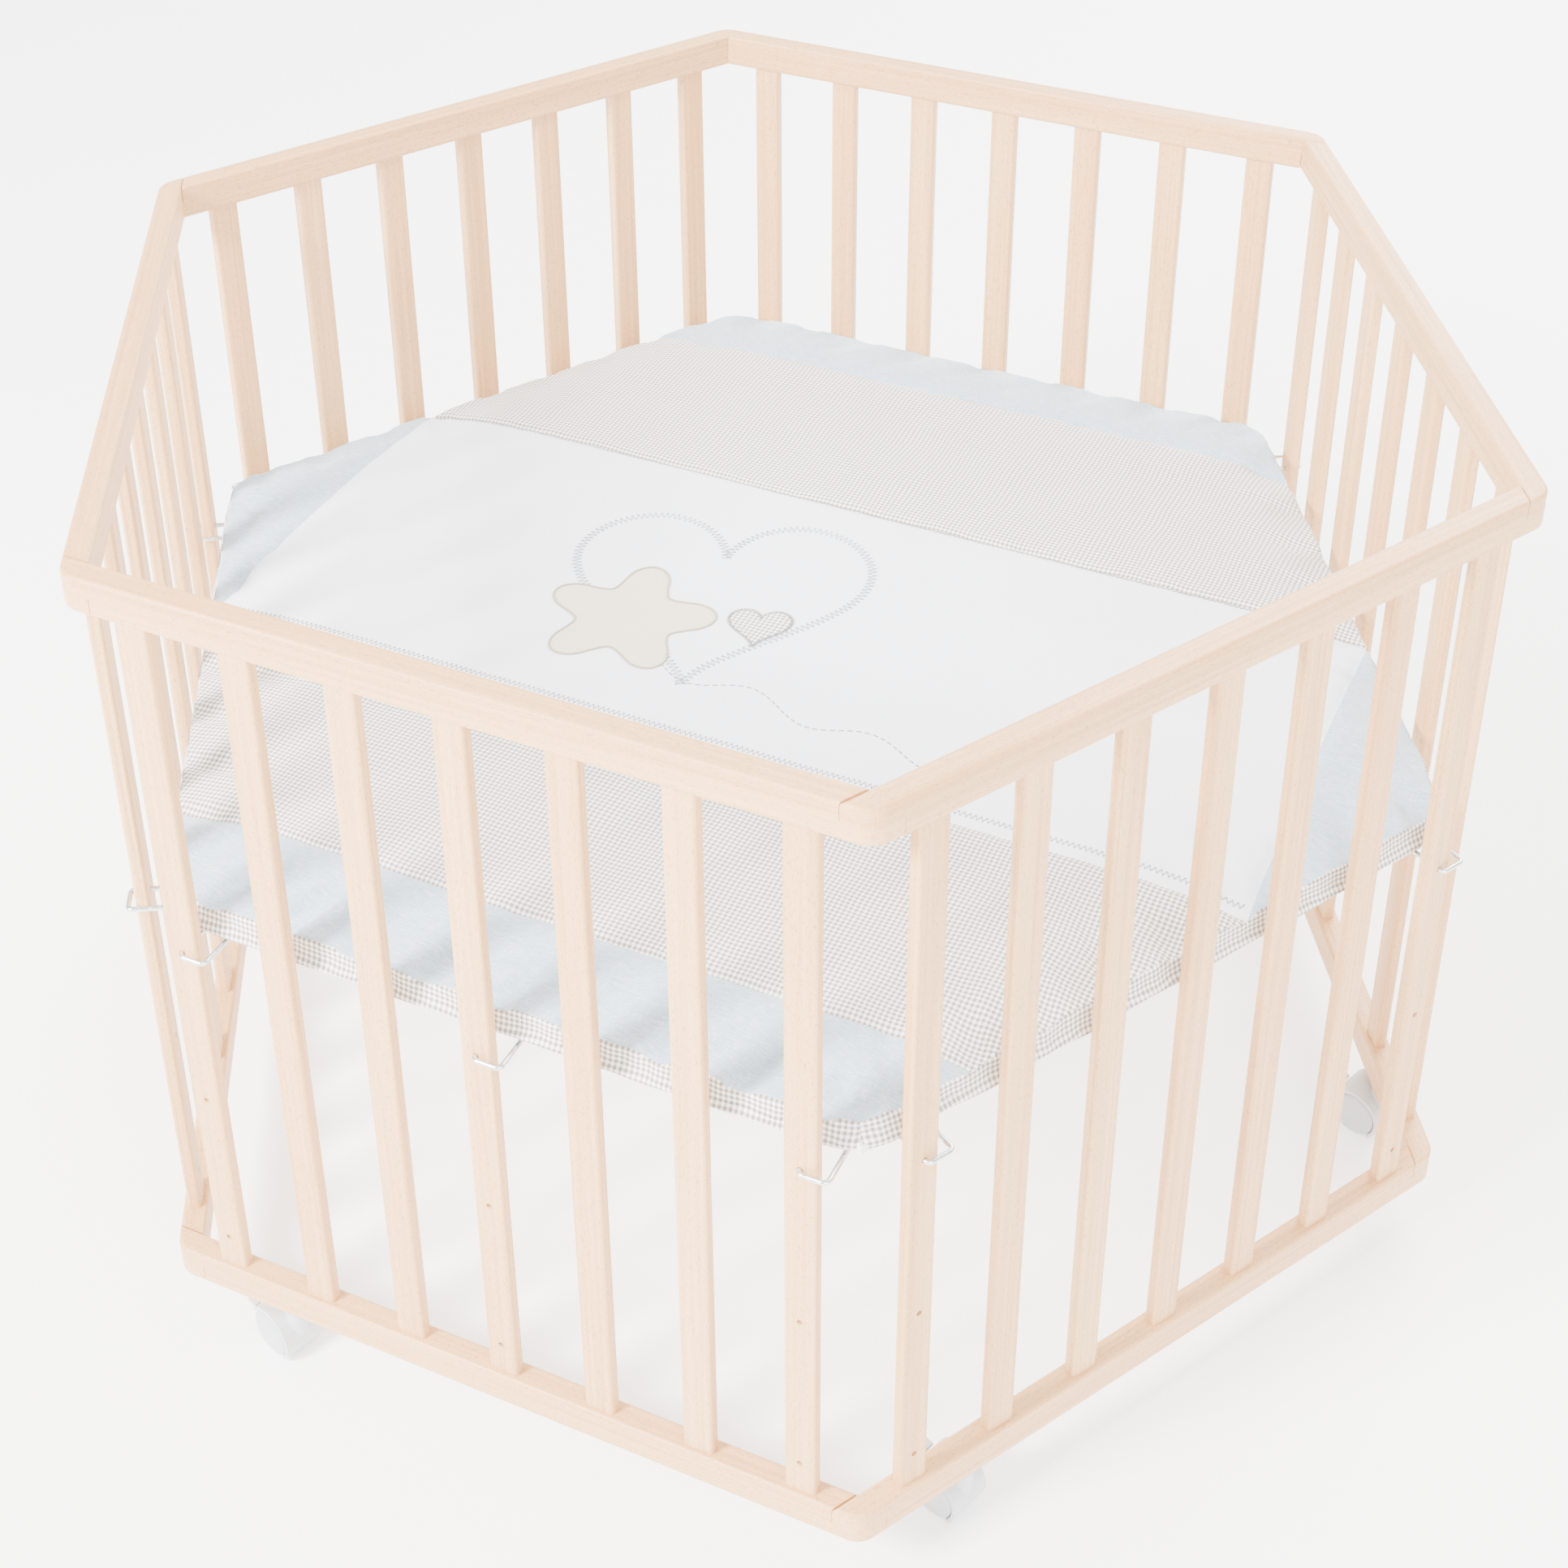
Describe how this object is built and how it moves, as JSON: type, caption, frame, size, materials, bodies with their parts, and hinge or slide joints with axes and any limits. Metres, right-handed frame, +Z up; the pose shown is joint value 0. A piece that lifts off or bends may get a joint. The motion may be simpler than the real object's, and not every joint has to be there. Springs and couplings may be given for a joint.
{
  "type": "playpen",
  "caption": "Six-sided wooden playpen on casters: slatted panels half-lapped into a ring, a raised two-part floor on wire hooks and a padded liner.",
  "frame": {"origin": "on the ground, under the middle of the six-sided ring", "axes": "+X along the front panel, +Y towards the back panel, +Z up; the front panel lies at -Y"},
  "size_m": [1.1938, 1.0692, 0.74],
  "materials": {
    "beech_wood": "clear satin lacquer over straight-grained beech",
    "caster_plastic": "moulded white nylon, slight grain",
    "wheel_plastic": "moulded white nylon, smooth",
    "socket_plastic": "moulded white nylon sleeve",
    "plated_steel": "bright zinc plate",
    "zinc_wire": "drawn wire, bright zinc plate",
    "brass_insert": "machined brass",
    "coated_board": "fibreboard with a white coating",
    "liner_fabric": "woven cotton over wadding, panels in several colours"
  },
  "bodies": {
    "frame_ring": {"front_top_rail": "beech_wood", "front_bottom_rail": "beech_wood", "front_slats": "beech_wood", "front_right_top_rail": "beech_wood", "front_right_bottom_rail": "beech_wood", "front_right_slats": "beech_wood", "back_right_top_rail": "beech_wood", "back_right_bottom_rail": "beech_wood", "back_right_slats": "beech_wood", "back_top_rail": "beech_wood", "back_bottom_rail": "beech_wood", "back_slats": "beech_wood", "back_left_top_rail": "beech_wood", "back_left_bottom_rail": "beech_wood", "back_left_slats": "beech_wood", "front_left_top_rail": "beech_wood", "front_left_bottom_rail": "beech_wood", "front_left_slats": "beech_wood", "top_corner_bolts": "plated_steel", "bottom_corner_bolts": "plated_steel", "top_corner_inserts": "brass_insert", "bottom_corner_inserts": "brass_insert", "caster_sockets": "socket_plastic", "floor_hooks": "zinc_wire"},
    "floor": {"floor_board_left": "coated_board", "floor_board_right": "coated_board", "floor_batten": "beech_wood", "floor_screws": "plated_steel"},
    "liner": {"padded_liner": "liner_fabric"},
    "front_swivel": {"front_caster_hood": "caster_plastic", "front_caster_stem": "plated_steel", "front_caster_axle": "plated_steel"},
    "front_wheels": {"front_caster_wheels": "wheel_plastic"},
    "front_pedal": {"front_caster_brake": "caster_plastic"},
    "front_right_swivel": {"front_right_caster_hood": "caster_plastic", "front_right_caster_stem": "plated_steel", "front_right_caster_axle": "plated_steel"},
    "front_right_wheels": {"front_right_caster_wheels": "wheel_plastic"},
    "front_right_pedal": {"front_right_caster_brake": "caster_plastic"},
    "back_right_swivel": {"back_right_caster_hood": "caster_plastic", "back_right_caster_stem": "plated_steel", "back_right_caster_axle": "plated_steel"},
    "back_right_wheels": {"back_right_caster_wheels": "wheel_plastic"},
    "back_right_pedal": {"back_right_caster_brake": "caster_plastic"},
    "back_swivel": {"back_caster_hood": "caster_plastic", "back_caster_stem": "plated_steel", "back_caster_axle": "plated_steel"},
    "back_wheels": {"back_caster_wheels": "wheel_plastic"},
    "back_pedal": {"back_caster_brake": "caster_plastic"},
    "back_left_swivel": {"back_left_caster_hood": "caster_plastic", "back_left_caster_stem": "plated_steel", "back_left_caster_axle": "plated_steel"},
    "back_left_wheels": {"back_left_caster_wheels": "wheel_plastic"},
    "back_left_pedal": {"back_left_caster_brake": "caster_plastic"},
    "front_left_swivel": {"front_left_caster_hood": "caster_plastic", "front_left_caster_stem": "plated_steel", "front_left_caster_axle": "plated_steel"},
    "front_left_wheels": {"front_left_caster_wheels": "wheel_plastic"},
    "front_left_pedal": {"front_left_caster_brake": "caster_plastic"}
  },
  "joints": [
    {"name": "floor_lift", "type": "slide", "parent": "frame_ring", "child": "floor", "axis": [0, 0, 1], "range_m": [0, 0.5]},
    {"name": "liner_lift", "type": "slide", "parent": "floor", "child": "liner", "axis": [0, 0, 1], "range_m": [0, 0.45]},
    {"name": "front_caster_swivel", "type": "hinge", "parent": "frame_ring", "child": "front_swivel", "pos_m": [-0.197, -0.50962, 0.04], "axis": [0, 0, 1], "continuous": true},
    {"name": "front_wheel_spin", "type": "hinge", "parent": "front_swivel", "child": "front_wheels", "pos_m": [-0.2111, -0.50448, 0.02], "axis": [0.342, 0.9397, 0], "continuous": true},
    {"name": "front_brake_press", "type": "hinge", "parent": "front_swivel", "child": "front_pedal", "pos_m": [-0.22143, -0.50072, 0.028], "axis": [-0.342, -0.9397, 0], "range_deg": [0, 10]},
    {"name": "front_right_caster_swivel", "type": "hinge", "parent": "frame_ring", "child": "front_right_swivel", "pos_m": [0.34284, -0.42541, 0.04], "axis": [0, 0, 1], "continuous": true},
    {"name": "front_right_wheel_spin", "type": "hinge", "parent": "front_right_swivel", "child": "front_right_wheels", "pos_m": [0.32874, -0.42028, 0.02], "axis": [0.342, 0.9397, 0], "continuous": true},
    {"name": "front_right_brake_press", "type": "hinge", "parent": "front_right_swivel", "child": "front_right_pedal", "pos_m": [0.31841, -0.41652, 0.028], "axis": [-0.342, -0.9397, 0], "range_deg": [0, 10]},
    {"name": "back_right_caster_swivel", "type": "hinge", "parent": "frame_ring", "child": "back_right_swivel", "pos_m": [0.53984, 0.0842, 0.04], "axis": [0, 0, 1], "continuous": true},
    {"name": "back_right_wheel_spin", "type": "hinge", "parent": "back_right_swivel", "child": "back_right_wheels", "pos_m": [0.52574, 0.08933, 0.02], "axis": [0.342, 0.9397, 0], "continuous": true},
    {"name": "back_right_brake_press", "type": "hinge", "parent": "back_right_swivel", "child": "back_right_pedal", "pos_m": [0.51541, 0.09309, 0.028], "axis": [-0.342, -0.9397, 0], "range_deg": [0, 10]},
    {"name": "back_caster_swivel", "type": "hinge", "parent": "frame_ring", "child": "back_swivel", "pos_m": [0.197, 0.50962, 0.04], "axis": [0, 0, 1], "continuous": true},
    {"name": "back_wheel_spin", "type": "hinge", "parent": "back_swivel", "child": "back_wheels", "pos_m": [0.18291, 0.51475, 0.02], "axis": [0.342, 0.9397, 0], "continuous": true},
    {"name": "back_brake_press", "type": "hinge", "parent": "back_swivel", "child": "back_pedal", "pos_m": [0.17257, 0.51851, 0.028], "axis": [-0.342, -0.9397, 0], "range_deg": [0, 10]},
    {"name": "back_left_caster_swivel", "type": "hinge", "parent": "frame_ring", "child": "back_left_swivel", "pos_m": [-0.34284, 0.42541, 0.04], "axis": [0, 0, 1], "continuous": true},
    {"name": "back_left_wheel_spin", "type": "hinge", "parent": "back_left_swivel", "child": "back_left_wheels", "pos_m": [-0.35694, 0.43055, 0.02], "axis": [0.342, 0.9397, 0], "continuous": true},
    {"name": "back_left_brake_press", "type": "hinge", "parent": "back_left_swivel", "child": "back_left_pedal", "pos_m": [-0.36727, 0.43431, 0.028], "axis": [-0.342, -0.9397, 0], "range_deg": [0, 10]},
    {"name": "front_left_caster_swivel", "type": "hinge", "parent": "frame_ring", "child": "front_left_swivel", "pos_m": [-0.53984, -0.0842, 0.04], "axis": [0, 0, 1], "continuous": true},
    {"name": "front_left_wheel_spin", "type": "hinge", "parent": "front_left_swivel", "child": "front_left_wheels", "pos_m": [-0.55393, -0.07907, 0.02], "axis": [0.342, 0.9397, 0], "continuous": true},
    {"name": "front_left_brake_press", "type": "hinge", "parent": "front_left_swivel", "child": "front_left_pedal", "pos_m": [-0.56427, -0.07531, 0.028], "axis": [-0.342, -0.9397, 0], "range_deg": [0, 10]}
  ]
}
